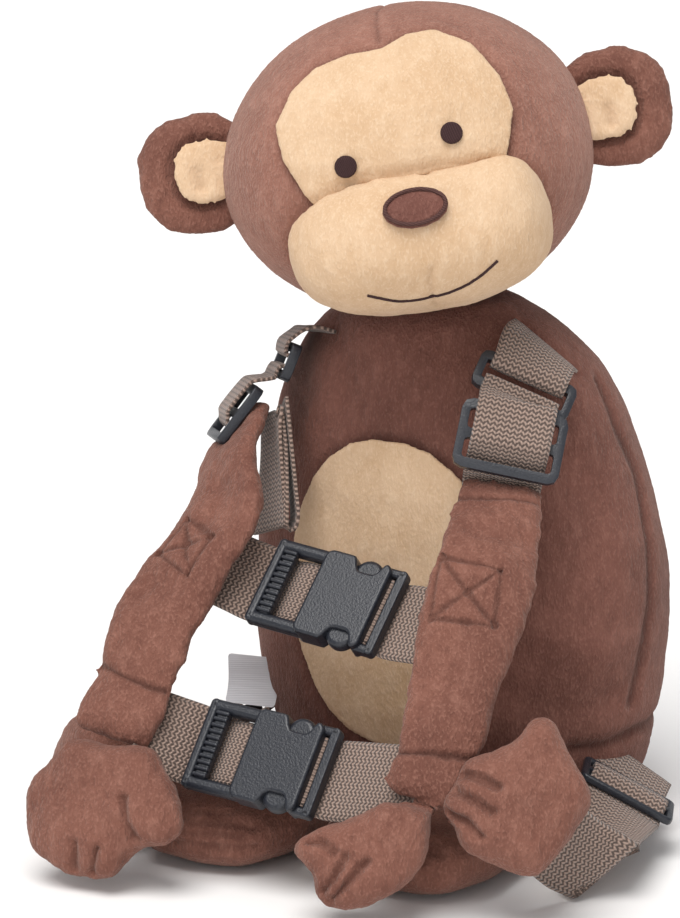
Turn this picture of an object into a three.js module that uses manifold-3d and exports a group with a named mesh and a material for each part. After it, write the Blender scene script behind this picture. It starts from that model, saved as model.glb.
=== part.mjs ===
// Plush monkey harness backpack, sitting on its flat base.
// Millimetres, +Z up, the belly faces -Y, +X is the viewer's right when looking at the belly.
import * as THREE from 'three';
import Module from 'manifold-3d';

const wasm = await Module();
wasm.setup();

// Sizes of the stuffed body and its pocket
const BODY_HEIGHT = 166;
const BODY_WIDTH = 140;
const BODY_DEPTH = 95;
const BODY_WALL = 3;
const ZIP_GAP_WIDTH = 9;
const ZIP_TAPE_WIDTH = 15;
const ZIP_TAPE_THICK = 1.2;
const ZIP_LOW = 0.2;
const ZIP_HIGH = 0.82;
const PULL_WIDTH = 5;
const PULL_LENGTH = 15;
const PULL_THICK = 1.6;
const PULL_SLIDE_THICK = 2.8;

// Sizes of the head
const HEAD_WIDTH = 114;
const HEAD_HEIGHT = 95;
const HEAD_DEPTH = 95;
const HEAD_YAW = 30;
const HEAD_PITCH = 13;
const HEAD_ROLL = 10;
const EAR_WIDTH = 39;
const EAR_THICK = 10;
const EYE_WIDTH = 6.8;
const EYE_THICK = 1;
const NOSE_WIDTH = 19.5;
const NOSE_THICK = 2.2;

// Sizes of cloth and webbing
const PATCH_THICK = 1.5;
const WEB_WIDTH = 25;
const WEB_THICK = 1.4;
const ARM_WIDTH = 30;
const ARM_THICK = 9;
const HAND_LENGTH = 44;
const HAND_THICK = 16;
const FOOT_LENGTH = 48;
const FOOT_THICK = 17;
const LEG_WIDTH = 60;
const LEG_HEIGHT = 25;
const LABEL_WIDTH = 16;

// Sizes of the plastic fittings
const BAR = 3;
const RING_WIDTH = 31;
const RING_LENGTH = 12;
const GLIDE_WIDTH = 32;
const GLIDE_LENGTH = 21;
const BUCKLE_WIDTH = 29;
const BUCKLE_LENGTH = 44;
const BUCKLE_THICK = 8;
const PRONG_THICK = 3;
const RIB = 1.4;
const LOOP_THICK = 4;
const REAR_SLIDER_WIDTH = 31;
const REAR_SLIDER_LENGTH = 18;
const REAR_SLIDER_THICK = 2.4;
const REAR_SLOT = 5.5;

// Clearance between pieces that touch
const GAP = 0.3;

// Cloth and plastic colours with how rough each is
const LOOKS = {
  plush: { color: 0x6b3d30, roughness: 0.95, metalness: 0 },
  cream: { color: 0xe3c48f, roughness: 0.95, metalness: 0 },
  webbing: { color: 0x7a6450, roughness: 0.9, metalness: 0 },
  plastic: { color: 0x2d3138, roughness: 0.5, metalness: 0 },
  thread: { color: 0x3a2420, roughness: 0.7, metalness: 0 },
  label: { color: 0xf2f2f0, roughness: 0.8, metalness: 0 },
};

const vec = (x, y, z) => new THREE.Vector3(x, y, z);
const share = (value) => value * BODY_HEIGHT / 100;
const signed = (value, power) => Math.sign(value) * Math.abs(value) ** power;

// A closed solid from points and triangles
function closed(points, faces) {
  const vertProperties = Float32Array.from(points.flat());
  const triVerts = Uint32Array.from(faces.flat());
  return new wasm.Manifold(new wasm.Mesh({ numProp: 3, vertProperties, triVerts }));
}

// A skin over rings of equal count, closed by a fan at each end
function loft(rings, poles) {
  const count = rings[0].length;
  const points = rings.flat();
  const faces = [];
  for (let level = 0; level + 1 < rings.length; level += 1) {
    for (let side = 0; side < count; side += 1) {
      const a = level * count + side;
      const b = level * count + ((side + 1) % count);
      faces.push([a, b, b + count], [a, b + count, a + count]);
    }
  }
  const middle = (ring) => [0, 1, 2].map((k) => ring.reduce((sum, p) => sum + p[k], 0) / count);
  const ends = poles || [middle(rings[0]), middle(rings[rings.length - 1])];
  points.push(ends[0], ends[1]);
  const last = (rings.length - 1) * count;
  for (let side = 0; side < count; side += 1) {
    const next = (side + 1) % count;
    faces.push([points.length - 2, next, side], [points.length - 1, last + side, last + next]);
  }
  return closed(points, faces);
}

// Points of an oval of the given squareness, counterclockwise
function oval(halfX, halfY, power, count) {
  return Array.from({ length: count }, (_, k) => {
    const turn = (2 * Math.PI * k) / count;
    return [halfX * signed(Math.cos(turn), 2 / power), halfY * signed(Math.sin(turn), 2 / power)];
  });
}

// A stuffed ball of three half sizes
function puff(half, power, around, levels) {
  const rings = [];
  for (let level = 1; level < levels; level += 1) {
    const turn = (Math.PI * level) / levels;
    const wide = Math.sin(turn) ** (2 / power);
    const high = -signed(Math.cos(turn), 2 / power) * half[2];
    rings.push(oval(half[0] * wide, half[1] * wide, power, around).map(([x, y]) => [x, y, high]));
  }
  return loft(rings, [[0, 0, -half[2]], [0, 0, half[2]]]);
}

// A plate with the given outline between two heights
function prism(outline, low, high) {
  const count = outline.length;
  const flat = THREE.ShapeUtils.triangulateShape(outline.map(([x, y]) => new THREE.Vector2(x, y)), []);
  const points = [low, high].flatMap((z) => outline.map(([x, y]) => [x, y, z]));
  const bottom = flat.map(([a, b, c]) => [c, b, a]);
  const faces = bottom.concat(flat.map(([a, b, c]) => [a + count, b + count, c + count]));
  for (let side = 0; side < count; side += 1) {
    const next = (side + 1) % count;
    faces.push([side, next, next + count], [side, next + count, side + count]);
  }
  return closed(points, faces);
}

// The outline of a rectangle with rounded corners
function rounded(width, height, radius) {
  const corners = [[1, 1], [-1, 1], [-1, -1], [1, -1]];
  return corners.flatMap(([sx, sy], quarter) => [0, 0.5, 1].map((step) => {
    const turn = ((quarter + step) * Math.PI) / 2;
    return [
      sx * (width / 2 - radius) + radius * Math.cos(turn),
      sy * (height / 2 - radius) + radius * Math.sin(turn),
    ];
  }));
}

// A plain box between two corners
function box(low, high) {
  const outline = [[low[0], low[1]], [high[0], low[1]], [high[0], high[1]], [low[0], high[1]]];
  return prism(outline, low[2], high[2]);
}

// A form moved so that its X runs along across and its Z along out
function place(form, at, across, out) {
  const x = across.clone().normalize();
  const z = out.clone().addScaledVector(x, -out.dot(x)).normalize();
  const y = z.clone().cross(x);
  return form.transform(new THREE.Matrix4().makeBasis(x, y, z).setPosition(at).elements);
}

// Rows of a table drawn out into a smooth run of the same columns
function smooth(table, steps) {
  const rows = [];
  const at = (k) => table[Math.min(Math.max(k, 0), table.length - 1)];
  for (let k = 0; k + 1 < table.length; k += 1) {
    for (let step = 0; step < steps; step += 1) {
      const t = step / steps;
      rows.push(at(k).map((value, column) => {
        const [p, q, r, s] = [at(k - 1)[column], value, at(k + 1)[column], at(k + 2)[column]];
        return q + 0.5 * t * (r - p + t * (2 * p - 5 * q + 4 * r - s + t * (3 * (q - r) + s - p)));
      }));
    }
  }
  return rows.concat([at(table.length - 1)]);
}

// A band drawn along rows of place, across, width and thickness, or along some of them
function sweep(rows, section, grow, from = 0, to = rows.length - 1) {
  const spots = rows.map((row) => row.at);
  const last = spots.length - 1;
  const ahead = (k) => spots[Math.min(k + 1, last)].clone().sub(spots[Math.max(k - 1, 0)]).normalize();
  const rings = rows.map((row, k) => {
    const along = ahead(k);
    const across = row.across.clone().addScaledVector(along, -row.across.dot(along)).normalize();
    const out = along.clone().cross(across);
    const end = k === from ? -grow : k === to ? grow : 0;
    return section.map(([s, t]) => row.at.clone()
      .addScaledVector(across, s * (row.wide / 2 + grow))
      .addScaledVector(out, t * (row.thick / 2 + grow))
      .addScaledVector(along, end).toArray());
  });
  return loft(rings.slice(from, to + 1));
}

const FLAT = [[1, -1], [1, 1], [-1, 1], [-1, -1]];
const SOFT = oval(1, 1, 2.6, 10);

// Every piece is a function of how much it is grown, so that its neighbours can be cut clear of it
const forms = {};

// Body: a hollow pear of plush with a flat base, leaning a little forward at the neck
// columns: height, half width, half depth and forward shift as shares of the body's own sizes
const BODY_ROWS = [
  [0, 0.36, 0.37, 0.02],
  [0.035, 0.41, 0.43, 0.01],
  [0.1, 0.448, 0.465, 0],
  [0.22, 0.482, 0.49, 0],
  [0.36, 0.5, 0.5, 0],
  [0.5, 0.493, 0.49, 0.01],
  [0.64, 0.462, 0.47, 0.03],
  [0.77, 0.415, 0.42, 0.06],
  [0.87, 0.355, 0.36, 0.1],
  [0.94, 0.29, 0.29, 0.14],
  [1, 0.19, 0.19, 0.17],
];
const BODY_AROUND = 24;

function bodyForm(grow) {
  const rings = BODY_ROWS.map(([level, wide, deep, lean], k) => {
    const end = k === 0 ? -grow : k === BODY_ROWS.length - 1 ? grow : 0;
    const ring = oval(wide * BODY_WIDTH + grow, deep * BODY_DEPTH + grow, 2.08, BODY_AROUND);
    return ring.map(([x, y]) => [x, y - lean * BODY_DEPTH, level * BODY_HEIGHT + end]);
  });
  return loft(rings);
}

// The zip mouth runs up the middle of the back
function zipBand(width, deep, grow) {
  const low = ZIP_LOW * BODY_HEIGHT - grow;
  const high = ZIP_HIGH * BODY_HEIGHT + grow;
  return box([-width / 2 - grow, 0, low], [width / 2 + grow, BODY_DEPTH, high]).intersect(bodyForm(deep));
}

forms.body_whole = bodyForm;
forms.body = (grow) => bodyForm(grow).subtract(bodyForm(-BODY_WALL))
  .subtract(zipBand(ZIP_GAP_WIDTH, BODY_WALL, 0));
forms.zip_tape = (grow) => zipBand(ZIP_TAPE_WIDTH, GAP + ZIP_TAPE_THICK + grow, grow)
  .subtract(bodyForm(GAP - grow));
forms.zip_pull = (grow) => {
  const half = PULL_THICK / 2 + grow;
  const tab = prism(rounded(PULL_WIDTH + 2 * grow, PULL_LENGTH + 2 * grow, 0.4 * PULL_WIDTH), -half, half);
  const wide = 0.6 * PULL_WIDTH + grow;
  const thick = PULL_SLIDE_THICK / 2 + grow;
  const slide = box([-wide, 0.27 * PULL_LENGTH - grow, -thick], [wide, 0.73 * PULL_LENGTH + grow, thick]);
  const at = vec(0, 0.462 * BODY_DEPTH, 0.66 * BODY_HEIGHT);
  return place(tab.add(slide), at, vec(-1, 0, 0), vec(0, 1, 0.35));
};

// Belly patch: an oval of short cream plush laid on the front of the body
forms.belly_patch = (grow) => {
  const outline = oval(0.262 * BODY_WIDTH + grow, 0.293 * BODY_HEIGHT + grow, 2.15, 26);
  const middle = vec(0, 0, 0.455 * BODY_HEIGHT);
  const rod = place(prism(outline, 0, BODY_DEPTH), middle, vec(1, 0, 0), vec(0, -1, 0));
  return rod.intersect(bodyForm(GAP + PATCH_THICK + grow)).subtract(bodyForm(GAP - grow));
};

// Head: its own frame looks along -Y of the frame below, turned, tipped up and leaned
const headTurn = new THREE.Matrix4().makeRotationZ(THREE.MathUtils.degToRad(HEAD_YAW))
  .multiply(new THREE.Matrix4().makeRotationX(THREE.MathUtils.degToRad(-HEAD_PITCH)))
  .multiply(new THREE.Matrix4().makeRotationY(THREE.MathUtils.degToRad(-HEAD_ROLL)));
const headAt = new THREE.Matrix4()
  .makeTranslation(-0.044 * BODY_WIDTH, -0.25 * BODY_DEPTH, 1.244 * BODY_HEIGHT);
const onHead = (form) => form.transform(headAt.clone().multiply(headTurn).elements);
const facing = (form) => place(form, vec(0, 0, 0), vec(1, 0, 0), vec(0, -1, 0));

const skull = (grow) => {
  const half = [HEAD_DEPTH / 2 + grow, HEAD_HEIGHT / 2 + grow, HEAD_WIDTH / 2 + grow];
  return place(puff(half, 2.04, 28, 16), vec(0, 0, 0), vec(0, -1, 0), vec(1, 0, 0));
};
const snout = (grow) => {
  const half = [0.35 * HEAD_WIDTH + grow, 0.238 * HEAD_HEIGHT + grow, 0.29 * HEAD_DEPTH + grow];
  const at = vec(-0.012 * HEAD_WIDTH, -0.32 * HEAD_DEPTH, -0.27 * HEAD_HEIGHT);
  return place(puff(half, 2.4, 24, 11), at, vec(1, 0, 0), vec(0, -1, 0));
};

// Two lobes above the eyes, columns: across and up as shares of the head's half width and half height
const FACE_ROWS = [
  [-0.06, 0.65], [0.08, 0.72], [0.23, 0.72], [0.4, 0.59], [0.52, 0.36], [0.56, 0.13], [0.5, -0.08],
  [0.42, -0.35], [-0.5, -0.4], [-0.58, -0.19], [-0.66, 0.07], [-0.67, 0.3], [-0.56, 0.49], [-0.41, 0.61],
  [-0.23, 0.66],
];
const faceOutline = (grow) => FACE_ROWS.slice().reverse()
  .map(([x, z]) => [x * (HEAD_WIDTH / 2 + grow), z * (HEAD_HEIGHT / 2 + grow)]);

forms.head = (grow) => onHead(skull(grow));
forms.face_patch = (grow) => onHead(facing(prism(faceOutline(grow), 0, HEAD_DEPTH))
  .intersect(skull(GAP + PATCH_THICK + grow)).subtract(skull(GAP - grow)));
forms.muzzle = (grow) => onHead(snout(grow));

// Eyes and nose: raised discs of stitched thread
const disc = (x, z, halfX, halfZ, lean, skin, low, high) => {
  const turned = oval(halfX, halfZ, 2, 14).map(([a, b]) => [
    x + a * Math.cos(lean) - b * Math.sin(lean), z + a * Math.sin(lean) + b * Math.cos(lean)]);
  const rod = facing(prism(turned, 0.35 * HEAD_DEPTH, HEAD_DEPTH));
  return onHead(rod.intersect(skin(high)).subtract(skin(low)));
};
const eyeForm = (x, z) => (grow) => {
  const half = EYE_WIDTH / 2 + grow;
  const low = 2 * GAP + PATCH_THICK;
  const high = low + EYE_THICK;
  return disc(x * HEAD_WIDTH / 2, z * HEAD_HEIGHT / 2, half, half, 0, skull, low - grow, high + grow);
};
forms.eye_left = eyeForm(-0.35, -0.05);
forms.eye_right = eyeForm(0.215, 0.04);
forms.nose = (grow) => disc(-0.02 * HEAD_WIDTH, -0.39 * HEAD_HEIGHT / 2, NOSE_WIDTH / 2 + grow,
  0.3 * NOSE_WIDTH + grow, 0, snout, GAP - grow, GAP + NOSE_THICK + grow);

// Ears: a flat stuffed disc with a cream lining, sewn on each side of the head
const earAt = (side) => vec(side * 0.56 * HEAD_WIDTH, 0.02 * HEAD_DEPTH, (0.06 - 0.01 * side) * HEAD_HEIGHT);
const earForm = (side) => (grow) => {
  const half = [EAR_WIDTH / 2 + grow, EAR_WIDTH / 2 + grow, EAR_THICK / 2 + grow];
  return onHead(place(puff(half, 2.4, 18, 8), earAt(side), vec(1, 0, 0), vec(0, -1, 0)));
};
const liningForm = (side) => (grow) => {
  const spot = earAt(side).add(vec(-side * 0.06 * EAR_WIDTH, -EAR_THICK / 2, 0));
  const half = [0.27 * EAR_WIDTH + grow, 0.27 * EAR_WIDTH + grow, 0.16 * EAR_THICK + grow];
  return onHead(place(puff(half, 2.4, 14, 4), spot, vec(1, 0, 0), vec(0, -1, 0)));
};
forms.ear_left = earForm(-1);
forms.ear_right = earForm(1);
forms.ear_lining_left = liningForm(-1);
forms.ear_lining_right = liningForm(1);

// Legs: two short stuffed legs that lie forward from the base
// columns: forward, sideways as shares of the leg's width, then width and height shares
const LEG_ROWS = [
  [0.42, 0.5, 0.62, 0.7],
  [0.7, 0.51, 0.9, 0.92],
  [1.15, 0.52, 1, 1],
  [1.5, 0.53, 0.98, 1],
  [1.72, 0.54, 0.84, 0.86],
  [1.83, 0.54, 0.5, 0.5],
];
const legForm = (side, reach) => (grow) => {
  const rows = LEG_ROWS.map(([ahead, beside, wide, high]) => ({
    at: vec(side * beside * LEG_WIDTH, -ahead * reach * LEG_WIDTH, high * LEG_HEIGHT / 2),
    across: vec(1, 0, 0),
    wide: wide * LEG_WIDTH,
    thick: high * LEG_HEIGHT,
  }));
  return sweep(rows, oval(1, 1, 2.5, 16), grow);
};
forms.leg_left = legForm(-1, 1.03);
forms.leg_right = legForm(1, 0.97);

// Arms: flat padded sleeves over the shoulder straps, each ending in a cuff with a seam above and below
// columns: x, y, z as hundredths of the body's height, share of the turn, width and thickness shares
const ARM_ROWS = {
  right: [
    [25.9, -32.7, 70.8, 0, 0.9, 0.5],
    [28.6, -41, 62.5, 0.3, 1.04, 0.9],
    [30, -48.5, 54.2, 0.6, 1.12, 1],
    [30, -55, 44.8, 1, 1.02, 1],
    [30.3, -61, 34.9, 1, 0.92, 0.9],
    [30.3, -64.3, 29.1, 1, 0.9, 0.6],
    [30.1, -66.8, 25, 1, 0.92, 0.85],
    [29.4, -69, 21.1, 1, 0.86, 0.6],
  ],
  left: [
    [-27.6, -30.3, 76.2, 0, 0.82, 0.6],
    [-26.0, -40.6, 70.0, 0.1, 0.95, 0.9],
    [-25.1, -50.8, 59.5, 0.5, 1, 1],
    [-27.5, -57, 50.5, 0.9, 1.02, 1],
    [-28.9, -64.2, 42.6, 1, 0.98, 0.9],
    [-29.8, -67.9, 35.3, 1, 0.96, 0.6],
    [-30.7, -71, 30, 1, 0.97, 0.85],
    [-31.6, -73.6, 25, 1, 0.92, 0.6],
  ],
};
const SIDEWAYS = vec(0.6, -0.78, 0.15);
const ARM_ACROSS = {
  right: [vec(0.87, 0.47, -0.13), vec(0.9, 0.35, -0.12)],
  left: [SIDEWAYS, vec(1, 0.05, -0.2)],
};
const CUFF_ROW = 5;
const ARM_STEPS = 2;
const armAcross = (hand, turn) => ARM_ACROSS[hand][0].clone().lerp(ARM_ACROSS[hand][1], turn);
const sleeve = (hand, from, to) => (grow) => {
  const rows = smooth(ARM_ROWS[hand], ARM_STEPS).map(([x, y, z, turn, wide, thick]) => ({
    at: vec(share(x), share(y), share(z)),
    across: armAcross(hand, turn),
    wide: wide * ARM_WIDTH,
    thick: thick * ARM_THICK,
  }));
  return sweep(rows, SOFT, grow, from * ARM_STEPS, to * ARM_STEPS);
};

// Hands and feet: flat stuffed shapes, fullest in the palm and thin at the edge
// columns: across and up from the middle of the palm, as hundredths of its length
const HAND_ROWS = {
  right: [
    [30, 34], [30, 9], [27, -6], [19, -20], [7, -31], [-6, -38], [-21, -43], [-29, -42], [-37, -39],
    [-44, -35], [-47, -25], [-47, -17], [-60, -15], [-66, -7], [-60, 2], [-45, 11], [-26, 20], [-7, 34],
  ],
  left: [
    [38, 51], [43, 41], [55, 29], [63, 16], [68, 2], [64, -11], [54, -16], [40, -16], [32, -26], [27, -36],
    [20, -44], [4, -45], [-10, -47], [-21, -41], [-31, -40], [-42, -33], [-50, -21], [-54, -8], [-54, 6],
    [-49, 22], [-40, 35], [-27, 50],
  ],
};
const FOOT_ROWS = [
  [-4, 54], [-9, 41], [-13, 33], [-31, 27], [-42, 22], [-47, 15], [-42, 7], [-50, 2], [-52, -8], [-49, -16],
  [-42, -24], [-38, -32], [-23, -38], [-11, -42], [6, -43], [19, -37], [28, -18], [38, 1], [40, 9], [36, 17],
  [26, 30], [18, 43], [12, 52], [4, 57],
];
const cushion = (outline, thick, power) => {
  const levels = 6;
  const rings = [];
  for (let level = 1; level < levels; level += 1) {
    const turn = (Math.PI * level) / levels;
    const wide = Math.sin(turn) ** (2 / power);
    rings.push(outline.map(([x, y]) => [x * wide, y * wide, -signed(Math.cos(turn), 2 / power) * thick]));
  }
  return loft(rings, [[0, 0, -thick], [0, 0, thick]]);
};
const paw = (rows, length, thick, at, out, turn, mirror) => (grow) => {
  const spin = THREE.MathUtils.degToRad(turn);
  const outline = rows.map(([x, y]) => {
    const far = (Math.hypot(x, y) * length) / 100 + grow;
    const angle = Math.atan2(y, x) + spin;
    return [far * Math.cos(angle), far * Math.sin(angle)];
  });
  const area = THREE.ShapeUtils.area(outline.map(([x, y]) => ({ x, y })));
  const ordered = area > 0 ? outline : outline.slice().reverse();
  const side = vec(1, 0, 0).addScaledVector(out, -out.x);
  const form = place(cushion(ordered, thick / 2 + grow, 3), vec(...at.map(share)), side, out);
  return mirror ? form.scale([-1, 1, 1]) : form;
};

const HAND_OUT = { right: vec(0.35, -0.9, 0.25).normalize(), left: vec(0.1, -0.95, 0.3).normalize() };
const FOOT_OUT = vec(0.45, -0.86, 0.25).normalize();
forms.arm_right = sleeve('right', 0, CUFF_ROW);
forms.arm_left = sleeve('left', 0, CUFF_ROW);
forms.cuff_right = sleeve('right', CUFF_ROW, ARM_ROWS.right.length - 1);
forms.cuff_left = sleeve('left', CUFF_ROW, ARM_ROWS.left.length - 1);
forms.hand_right = paw(HAND_ROWS.right, HAND_LENGTH, HAND_THICK, [26, -75.4, 13.6], HAND_OUT.right, 0, false);
forms.hand_left = paw(HAND_ROWS.left, HAND_LENGTH, HAND_THICK, [-29.5, -82, 13.4], HAND_OUT.left, 0, false);
forms.foot_right = paw(FOOT_ROWS, FOOT_LENGTH, FOOT_THICK, [47.1, -63, 22.2], FOOT_OUT, 0, false);
forms.foot_left = paw(FOOT_ROWS, FOOT_LENGTH, FOOT_THICK, [43.8, -59, 13.8], FOOT_OUT, 150, true);

// Frames of the fittings: place, across the strap, and outward
// A ring's place is given from its slider, in shares of the slider's length
const shoulder = {
  right: {
    glide: { at: [27.6, -33, 78.4], across: vec(0.87, 0.45, -0.2), out: vec(0.49, -0.77, 0.41) },
    ring: { from: vec(-0.127, 0.648, 0.664), across: vec(0.85, 0.36, -0.39), out: vec(0.45, -0.7, 0.6) },
    root: { at: [25.3, -15, 92.5], across: vec(0.75, 0.28, -0.6) },
  },
  left: {
    glide: { at: [-31.4, -30.6, 76.8], across: SIDEWAYS, out: vec(-0.59, -0.55, 0.66) },
    ring: { from: vec(0.53, 0.577, 0.735), across: SIDEWAYS, out: vec(-0.7, -0.66, 0.43) },
    root: { at: [-20.5, -17.8, 91.3], across: vec(0.6, -0.75, 0.22) },
  },
};
Object.values(shoulder).forEach(({ glide, ring, root }) => {
  root.at = vec(...root.at.map(share));
  glide.at = vec(...glide.at.map(share));
  ring.at = glide.at.clone().addScaledVector(ring.from, GLIDE_LENGTH);
});

// A point in a fitting's own frame: across, along and out of it
function spot(frame, across, along, out) {
  const x = frame.across.clone().normalize();
  const z = frame.out.clone().addScaledVector(x, -frame.out.dot(x)).normalize();
  const y = z.clone().cross(x);
  return frame.at.clone().addScaledVector(x, across).addScaledVector(y, along).addScaledVector(z, out);
}
const inFrame = (frame, form) => place(form, frame.at, frame.across, frame.out);

// Webbing drawn through world points, each with its own across direction
const webbing = (points, steps) => (grow) => {
  const table = points.map(({ at, across, wide }) => [...at, ...across, wide || 1]);
  const rows = smooth(table, steps).map(([x, y, z, ax, ay, az, wide]) => ({
    at: vec(x, y, z),
    across: vec(ax, ay, az),
    wide: wide * WEB_WIDTH,
    thick: WEB_THICK,
  }));
  return sweep(rows, FLAT, grow);
};
const WRAP = BAR / 2 + GAP + WEB_THICK / 2 + 0.2;

// Ring: a rectangular loop between the shoulder webbing and the slider's webbing
const ringForm = (frame) => (grow) => {
  const outline = rounded(RING_WIDTH + 2 * grow, RING_LENGTH + 2 * grow, 2.5);
  const plate = prism(outline, -BAR / 2 - grow, BAR / 2 + grow);
  const hole = rounded(RING_WIDTH - 2 * BAR + 1 - 2 * grow, RING_LENGTH - 2 * BAR - 2 * grow, 0.4);
  return inFrame(frame, plate.subtract(prism(hole, -2 * BAR, 2 * BAR)));
};

// Slider: a frame with a bar across its middle
const glideForm = (frame) => (grow) => {
  const slot = (GLIDE_LENGTH - 3 * BAR) / 2;
  const opening = rounded(GLIDE_WIDTH - 2 * BAR + 1 - 2 * grow, slot - 2 * grow, 1);
  const hole = (side) => prism(opening, -2 * BAR, 2 * BAR).translate([0, side * (slot + BAR) / 2, 0]);
  const outline = rounded(GLIDE_WIDTH + 2 * grow, GLIDE_LENGTH + 2 * grow, 3);
  const plate = prism(outline, -BAR / 2 - grow, BAR / 2 + grow);
  return inFrame(frame, plate.subtract(hole(1)).subtract(hole(-1)));
};

const GLIDE_EDGE = GLIDE_LENGTH / 2 - BAR / 2;
const RING_EDGE = RING_LENGTH / 2 - BAR / 2;

// Webbing of the slider: out of the sleeve, over the middle bar and round the ring's lower bar
// On the left the sleeve ends behind the slider, so the webbing starts at the sleeve's upper edge
const glideWeb = (hand) => {
  const { glide, ring } = shoulder[hand];
  const arm = ARM_ROWS[hand];
  const low = vec(share(arm[0][0]), share(arm[0][1]), share(arm[0][2]));
  const deep = low.clone().lerp(vec(share(arm[1][0]), share(arm[1][1]), share(arm[1][2])), 0.45);
  const thread = (frame, along, out) => {
    const at = spot(frame, 0, along, out);
    return { at, across: frame.across, wide: 0.95 };
  };
  const start = hand === 'right' ? [
    { at: deep, across: armAcross(hand, 0.1), wide: 0.9 },
    { at: low, across: armAcross(hand, 0), wide: 0.95 },
    thread(glide, -GLIDE_EDGE, -WRAP - 0.2),
    thread(glide, -GLIDE_EDGE + 2, -WRAP),
  ] : [thread(glide, 3.4, -WRAP - 2.3), thread(glide, 0.4, -WRAP - 1.7), thread(glide, -2.6, -WRAP - 0.7)];
  const points = [
    ...start,
    thread(glide, -GLIDE_EDGE / 2, 0),
    thread(glide, -2, WRAP),
    thread(glide, 0, WRAP + 0.7),
    thread(glide, GLIDE_EDGE, WRAP + 0.4),
    thread(glide, GLIDE_EDGE + 2.6, WRAP - 0.6),
    thread(ring, -RING_EDGE - 2, WRAP + 0.3),
    thread(ring, -RING_EDGE, WRAP + 0.1),
    thread(ring, -RING_EDGE + 0.85 * WRAP, 0.85 * WRAP),
    thread(ring, -RING_EDGE + WRAP + 0.1, 0),
  ];
  return webbing(points, 2);
};

// Shoulder webbing: out of the shoulder seam and round the ring's upper bar
const shoulderWeb = (hand) => {
  const { ring, root } = shoulder[hand];
  const hump = root.at.clone().lerp(spot(ring, 0, RING_EDGE + 4, WRAP), 0.5).add(vec(0, -0.6, 1.2));
  const thread = (along, out) => ({ at: spot(ring, 0, along, out), across: ring.across, wide: 0.95 });
  const points = [
    root,
    { at: hump, across: root.across.clone().lerp(ring.across, 0.5) },
    thread(RING_EDGE + 1.5, WRAP),
    thread(RING_EDGE, WRAP + 0.1),
    thread(RING_EDGE - 0.85 * WRAP, 0.85 * WRAP),
    thread(RING_EDGE - WRAP - 0.1, 0),
  ];
  return webbing(points, 3);
};
['left', 'right'].forEach((hand) => {
  forms[`ring_${hand}`] = ringForm(shoulder[hand].ring);
  forms[`slider_${hand}`] = glideForm(shoulder[hand].glide);
  forms[`slider_webbing_${hand}`] = glideWeb(hand);
  forms[`shoulder_webbing_${hand}`] = shoulderWeb(hand);
});

// Side-release buckles: a ribbed clip on the left half and a socket on the right half
const buckles = {
  chest: { at: [-0.6, -49.4, 49.6], across: vec(1, 0.01, -0.12), out: vec(0, -0.74, 0.67) },
  belt: { at: [-3.8, -67, 23.6], across: vec(1, 0.02, -0.08), out: vec(0.02, -0.8, 0.6) },
};
Object.values(buckles).forEach((buckle) => {
  buckle.at = vec(...buckle.at.map(share));
});
const CLIP_BASE = -0.12 * BUCKLE_LENGTH;
const CLIP_SLOT = 0.11 * BUCKLE_LENGTH;
// columns: along the buckle and across it, as shares of its length and width
const PRONG_ROWS = [
  [-0.143, 0.2], [0.062, 0.2], [0.27, 0.27], [0.32, 0.4], [0.28, 0.44], [0.18, 0.38], [-0.075, 0.33],
  [-0.143, 0.36],
];
const clipForm = (frame) => (grow) => {
  const left = -BUCKLE_LENGTH / 2;
  const half = BUCKLE_WIDTH / 2;
  const thick = 0.3 * BUCKLE_THICK;
  const inner = half - BAR;
  const slotLeft = left + BAR + 1;
  let form = box([left - grow, -half - grow, -thick - grow],
    [CLIP_BASE - GAP + grow, half + grow, thick + grow]);
  form = form.subtract(box([slotLeft + grow, -inner + grow, -BUCKLE_THICK],
    [slotLeft + CLIP_SLOT - grow, inner - grow, BUCKLE_THICK]));
  for (let rib = -4; rib <= 4; rib += 1) {
    const middle = rib * 0.085 * BUCKLE_WIDTH;
    form = form.add(box([left + 0.2 * BAR, middle - RIB / 2, thick - 0.2],
      [left + 1.13 * BAR, middle + RIB / 2, thick + RIB / 2]));
  }
  [1, -1].forEach((side) => {
    const outline = PRONG_ROWS.map(([x, y]) => [x * BUCKLE_LENGTH, side * y * BUCKLE_WIDTH]);
    const thin = PRONG_THICK / 2 + grow;
    form = form.add(prism(side > 0 ? outline : outline.reverse(), -thin, thin));
  });
  return inFrame(frame, form);
};
const SOCKET_END = BUCKLE_LENGTH / 2 - 2 * BAR;
const socketForm = (frame) => (grow) => {
  const half = BUCKLE_WIDTH / 2;
  const right = BUCKLE_LENGTH / 2;
  const plate = (end, thick) => prism(rounded(end - CLIP_BASE + 2 * grow, BUCKLE_WIDTH + 2 * grow, 2.5)
    .map(([x, y]) => [x + (end + CLIP_BASE) / 2, y]), -thick / 2 - grow, thick / 2 + grow);
  const room = PRONG_THICK / 2 + GAP - grow;
  let form = plate(SOCKET_END, BUCKLE_THICK).add(plate(right, LOOP_THICK));
  form = form.subtract(box([CLIP_BASE - 2, -0.45 * BUCKLE_WIDTH + grow, -room],
    [0.34 * BUCKLE_LENGTH, 0.45 * BUCKLE_WIDTH - grow, room]));
  [1, -1].forEach((side) => {
    const notch = box([0.12 * BUCKLE_LENGTH + grow, 0.37 * BUCKLE_WIDTH + grow, -BUCKLE_THICK],
      [0.33 * BUCKLE_LENGTH - grow, half + 2, BUCKLE_THICK]);
    form = form.subtract(side > 0 ? notch : notch.scale([1, -1, 1]));
  });
  const slot = box([right - 1.87 * BAR, -half + BAR, -BUCKLE_THICK], [right - BAR, half - BAR, BUCKLE_THICK]);
  return inFrame(frame, form.subtract(slot));
};
forms.chest_clip = clipForm(buckles.chest);
forms.chest_socket = socketForm(buckles.chest);
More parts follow.
